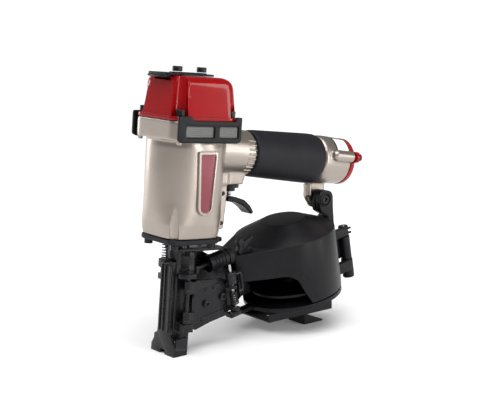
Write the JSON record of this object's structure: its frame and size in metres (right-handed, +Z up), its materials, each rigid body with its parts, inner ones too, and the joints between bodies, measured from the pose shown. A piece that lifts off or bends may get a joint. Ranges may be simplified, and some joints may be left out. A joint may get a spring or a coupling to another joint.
{
  "type": "pneumatic coil nailer",
  "caption": "Air-driven nailer with barrel, red cap, rubber grip, trigger, sliding contact foot, hinged feed door and tilted round nail canister with a swinging cover.",
  "frame": {"origin": "middle of the bounding box, on the floor that the contact foot and the rest foot stand on", "axes": "+Z up; +X towards the handle's end; -Y is the operator's left. The tool stands leaning 5 degrees back about Y."},
  "size_m": [0.2611, 0.108, 0.2836],
  "materials": {
    "champagne_magnesium": "satin champagne-silver powder coat on cast magnesium",
    "red_enamel": "glossy deep red enamel",
    "black_plastic": "moulded black plastic, fine grain",
    "black_rubber": "soft matte rubber",
    "blackened_steel": "black oxide steel, slightly oily",
    "bright_steel": "ground steel",
    "maroon_plate": "plain printed panel",
    "grey_insert": "ribbed grey plastic",
    "amber_urethane": "cast urethane"
  },
  "bodies": {
    "root": {"air_inlet_bush": "blackened_steel", "arm_guide_screw": "blackened_steel", "base_bracket": "black_plastic", "body_housing": "champagne_magnesium", "bumper_plate": "black_rubber", "cap_bolt_front_left": "blackened_steel", "cap_bolt_front_right": "blackened_steel", "cap_bolt_rear_left": "blackened_steel", "cap_bolt_rear_right": "blackened_steel", "contact_arm_spring": "blackened_steel", "cover_hinge_pin": "bright_steel", "cylinder_cap": "red_enamel", "cylinder_sleeve": "bright_steel", "deflector_bolt_front": "blackened_steel", "deflector_bolt_rear": "blackened_steel", "door_hinge_pin": "blackened_steel", "end_cap": "red_enamel", "end_cap_bolt_left": "blackened_steel", "end_cap_bolt_right": "blackened_steel", "exhaust_deflector": "black_plastic", "feed_cylinder": "black_plastic", "feed_spring": "blackened_steel", "grip_sleeve": "black_rubber", "guard_insert_left": "grey_insert", "guard_insert_right": "grey_insert", "hanger_bolt": "blackened_steel", "head_valve_spring": "bright_steel", "inlet_plug": "black_plastic", "magazine_base": "black_plastic", "magazine_hanger": "black_plastic", "name_plate": "maroon_plate", "nose_bolt_front_left": "blackened_steel", "nose_bolt_front_right": "blackened_steel", "nose_bolt_rear_left": "blackened_steel", "nose_bolt_rear_right": "blackened_steel", "nosepiece": "blackened_steel", "piston_bumper": "amber_urethane", "rest_foot": "black_plastic", "safety_pin": "blackened_steel", "side_guard_left": "black_plastic", "side_guard_right": "black_plastic", "trigger_pin": "blackened_steel", "trigger_valve_body": "blackened_steel"},
    "driver": {"piston": "bright_steel", "driver_blade": "bright_steel"},
    "head_valve": {"head_valve": "black_plastic"},
    "trigger": {"trigger": "black_plastic"},
    "valve_stem": {"valve_stem": "bright_steel"},
    "contact": {"contact_arm": "blackened_steel", "contact_link": "blackened_steel"},
    "depth": {"depth_dial": "black_plastic"},
    "feeder": {"feed_piston": "blackened_steel"},
    "door": {"feed_door": "blackened_steel", "door_screw_front": "blackened_steel", "door_screw_rear": "blackened_steel", "latch_shaft": "bright_steel", "latch_spring": "blackened_steel"},
    "latch": {"latch_lever": "blackened_steel"},
    "cover": {"magazine_cover": "black_plastic"},
    "platform": {"nail_platform": "black_plastic"}
  },
  "joints": [
    {"name": "driver_stroke", "type": "slide", "parent": "root", "child": "driver", "axis": [-0.0872, 0, -0.9962], "range_m": [0, 0.062]},
    {"name": "head_valve_lift", "type": "slide", "parent": "root", "child": "head_valve", "axis": [0.0872, 0, 0.9962], "range_m": [0, 0.006], "stiffness_N_per_m": 700, "springref_m": -0.006, "deforming": ["head_valve_spring"]},
    {"name": "trigger_pull", "type": "hinge", "parent": "root", "child": "trigger", "pos_m": [-0.04881, 0, 0.15456], "axis": [0, -1, 0], "range_deg": [0, 11], "stiffness_Nm_per_rad": 0.4, "springref_deg": -22.92},
    {"name": "valve_stem_lift", "type": "slide", "parent": "root", "child": "valve_stem", "axis": [0.0872, 0, 0.9962], "range_m": [0, 0.0028]},
    {"name": "contact_arm_push", "type": "slide", "parent": "root", "child": "contact", "axis": [0.0872, 0, 0.9962], "range_m": [0, 0.0055], "stiffness_N_per_m": 4000, "springref_m": -0.01, "deforming": ["contact_arm_spring"]},
    {"name": "depth_dial_turn", "type": "hinge", "parent": "contact", "child": "depth", "pos_m": [-0.05587, 0, 0.1083], "axis": [0.0872, 0, 0.9962], "continuous": true},
    {"name": "feed_stroke", "type": "slide", "parent": "root", "child": "feeder", "axis": [0.9848, 0, 0.1736], "range_m": [0, 0.009], "stiffness_N_per_m": 900, "springref_m": -0.015, "deforming": ["feed_spring"]},
    {"name": "door_open", "type": "hinge", "parent": "root", "child": "door", "pos_m": [-0.10264, -0.0195, 0.04985], "axis": [-0.0872, 0, -0.9962], "range_deg": [0, 110]},
    {"name": "latch_turn", "type": "hinge", "parent": "door", "child": "latch", "pos_m": [-0.05147, -0.025, 0.06878], "axis": [-0.1736, 0, 0.9848], "range_deg": [-60, 0]},
    {"name": "cover_open", "type": "hinge", "parent": "root", "child": "cover", "pos_m": [0.11927, -0.012, 0.07081], "axis": [-0.1736, 0, 0.9848], "range_deg": [0, 100]},
    {"name": "platform_height", "type": "slide", "parent": "root", "child": "platform", "axis": [-0.1736, 0, 0.9848], "range_m": [0, 0.02]}
  ],
  "couplings": [
    {"joint": "valve_stem_lift", "follows": "trigger_pull", "m_per_rad": 0.014}
  ]
}
